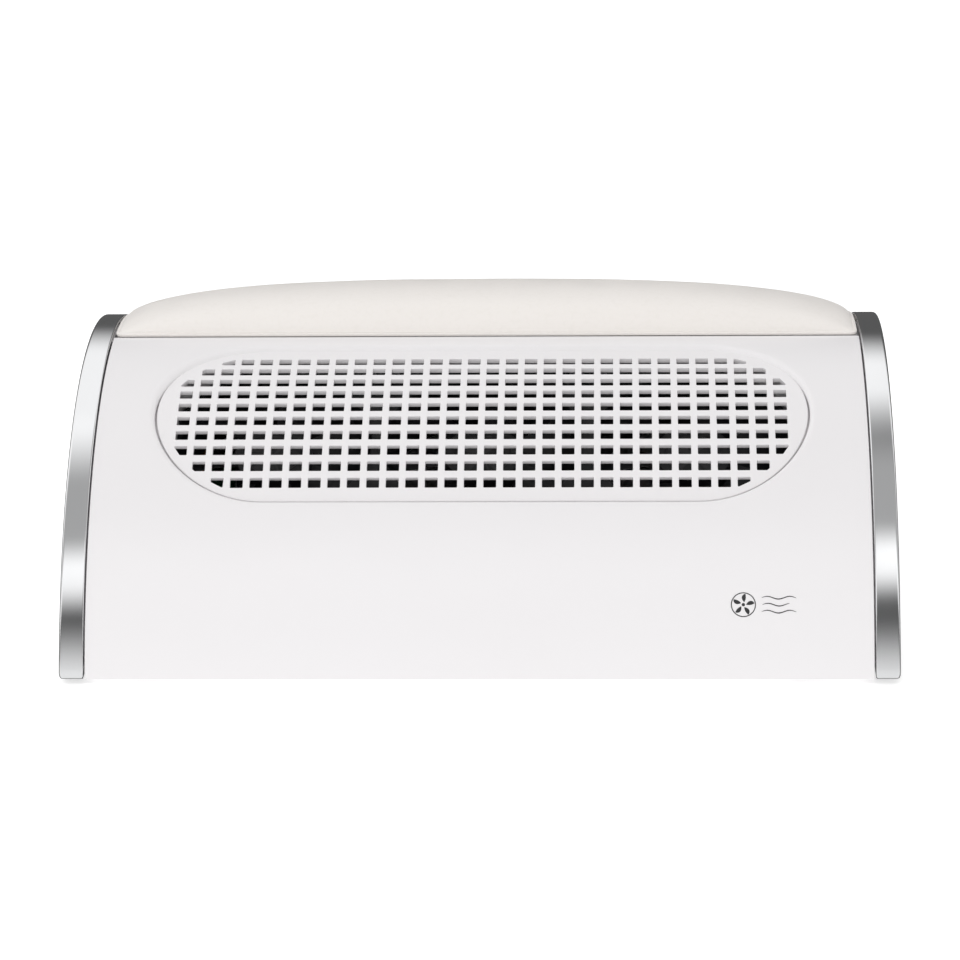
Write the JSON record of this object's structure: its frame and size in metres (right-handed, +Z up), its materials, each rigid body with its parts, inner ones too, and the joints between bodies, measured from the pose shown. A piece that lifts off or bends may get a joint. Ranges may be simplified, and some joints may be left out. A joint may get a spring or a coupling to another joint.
{
  "type": "nail dust collector",
  "caption": "Tabletop nail dust collector: arched casing with a perforated intake grille over fans, a padded hand rest, chrome side trims, rear switch, power inlet and a cloth dust bag.",
  "frame": {"origin": "on the table under the middle of the whole object's box, with the dust bag fitted", "axes": "+X to the right seen from the user's side, +Y away from the user towards the dust bag, +Z up"},
  "size_m": [0.31, 0.2854, 0.0968],
  "materials": {
    "white_casing": "glossy moulded white",
    "white_grille": "satin moulded white",
    "chrome_trim": "plated mirror",
    "cushion_leather": "smooth cream synthetic leather",
    "grey_board": "matt moulded",
    "black_plastic": "satin moulded black",
    "copper_winding": "enamelled copper wire and lacquered core",
    "wire_sleeve": "braided sleeve",
    "brass_pin": "bright",
    "circuit_board": "solder mask",
    "capacitor_sleeve": "shrink sleeve",
    "zinc_steel": "zinc plated",
    "foot_rubber": "matt",
    "bag_fabric": "non-woven filter cloth",
    "elastic_band": "woven elastic"
  },
  "bodies": {
    "housing": {"upper_shell": "white_casing", "base_tray": "white_casing", "rear_panel": "white_casing", "side_panel_left": "white_casing", "chrome_trim_left": "chrome_trim", "side_panel_right": "white_casing", "chrome_trim_right": "chrome_trim", "fan_deck": "black_plastic", "fan_frame_left": "black_plastic", "fan_stator_left": "copper_winding", "fan_screw_left_1": "zinc_steel", "fan_screw_left_2": "zinc_steel", "fan_screw_left_3": "zinc_steel", "fan_screw_left_4": "zinc_steel", "fan_frame_middle": "black_plastic", "fan_stator_middle": "copper_winding", "fan_screw_middle_1": "zinc_steel", "fan_screw_middle_2": "zinc_steel", "fan_screw_middle_3": "zinc_steel", "fan_screw_middle_4": "zinc_steel", "fan_frame_right": "black_plastic", "fan_stator_right": "copper_winding", "fan_screw_right_1": "zinc_steel", "fan_screw_right_2": "zinc_steel", "fan_screw_right_3": "zinc_steel", "fan_screw_right_4": "zinc_steel", "deck_screw_1": "zinc_steel", "deck_screw_2": "zinc_steel", "deck_screw_3": "zinc_steel", "deck_screw_4": "zinc_steel", "hand_rest_board": "grey_board", "hand_rest_pad": "cushion_leather", "hand_rest_screw_1": "zinc_steel", "hand_rest_screw_2": "zinc_steel", "outlet_collar": "white_casing", "switch_body": "black_plastic", "inlet_body": "black_plastic", "inlet_pin_1": "brass_pin", "inlet_pin_2": "brass_pin", "power_board": "circuit_board", "transformer": "copper_winding", "capacitor": "capacitor_sleeve", "fan_harness": "wire_sleeve", "foot_1": "foot_rubber", "foot_2": "foot_rubber", "foot_3": "foot_rubber", "foot_4": "foot_rubber", "base_screw_1": "zinc_steel", "base_screw_2": "zinc_steel", "base_screw_3": "zinc_steel", "base_screw_4": "zinc_steel", "rear_screw_1": "zinc_steel", "rear_screw_2": "zinc_steel"},
    "grille": {"grille_insert": "white_grille"},
    "fan_left": {"fan_rotor_left": "black_plastic"},
    "fan_middle": {"fan_rotor_middle": "black_plastic"},
    "fan_right": {"fan_rotor_right": "black_plastic"},
    "rocker": {"switch_rocker": "black_plastic"},
    "bag": {"dust_bag": "bag_fabric", "dust_bag_elastic": "elastic_band"}
  },
  "joints": [
    {"name": "fan_left_spin", "type": "hinge", "parent": "housing", "child": "fan_left", "pos_m": [-0.0805, -0.05243, 0.04751], "axis": [0, -0.3502, 0.9367], "continuous": true},
    {"name": "fan_middle_spin", "type": "hinge", "parent": "housing", "child": "fan_middle", "pos_m": [0, -0.05243, 0.04751], "axis": [0, -0.3502, 0.9367], "continuous": true},
    {"name": "fan_right_spin", "type": "hinge", "parent": "housing", "child": "fan_right", "pos_m": [0.0805, -0.05243, 0.04751], "axis": [0, -0.3502, 0.9367], "continuous": true},
    {"name": "grille_lift", "type": "slide", "parent": "housing", "child": "grille", "axis": [0, -0.3502, 0.9367], "range_m": [0, 0.05]},
    {"name": "switch_rock", "type": "hinge", "parent": "housing", "child": "rocker", "pos_m": [0.122, 0.07665, 0.027], "axis": [1, 0, 0], "range_deg": [0, 20]},
    {"name": "dust_bag_pull", "type": "slide", "parent": "housing", "child": "bag", "axis": [0, 1, 0], "range_m": [0, 0.06]}
  ]
}
